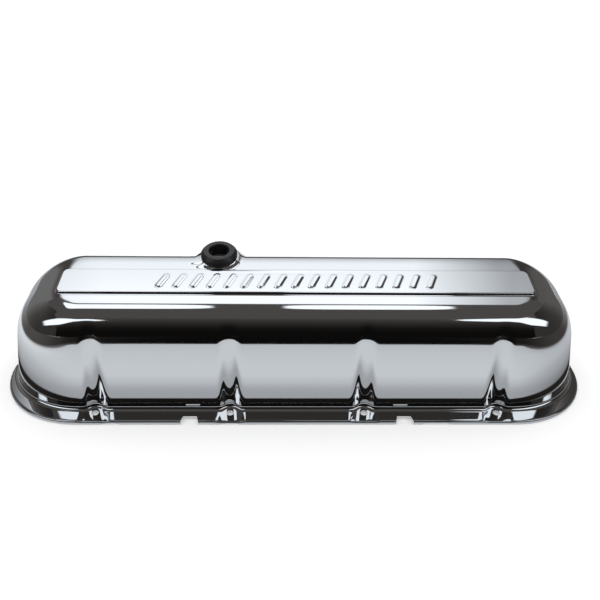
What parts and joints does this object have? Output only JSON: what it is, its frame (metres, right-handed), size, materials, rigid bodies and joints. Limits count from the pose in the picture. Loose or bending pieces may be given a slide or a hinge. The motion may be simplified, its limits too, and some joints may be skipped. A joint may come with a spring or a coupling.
{
  "type": "engine valve cover",
  "caption": "Chromed stamped steel cover for an engine's rocker gear, with bolt flange, breather grommet and inner oil baffle.",
  "frame": {"origin": "middle of the flange, in the plane on which the turned-down gasket lip stands", "axes": "+X along the engine, -Y towards the exhaust side with four bolts, +Y towards the intake side with three, +Z away from the cylinder head"},
  "size_m": [0.562, 0.166, 0.1227],
  "materials": {
    "cover_shell": "mirror polished",
    "breather_grommet": "satin",
    "oil_baffle": "plain cold-rolled, oiled"
  },
  "bodies": {
    "root": {"cover_shell": "cover_shell", "breather_grommet": "breather_grommet", "oil_baffle": "oil_baffle"}
  },
  "joints": []
}
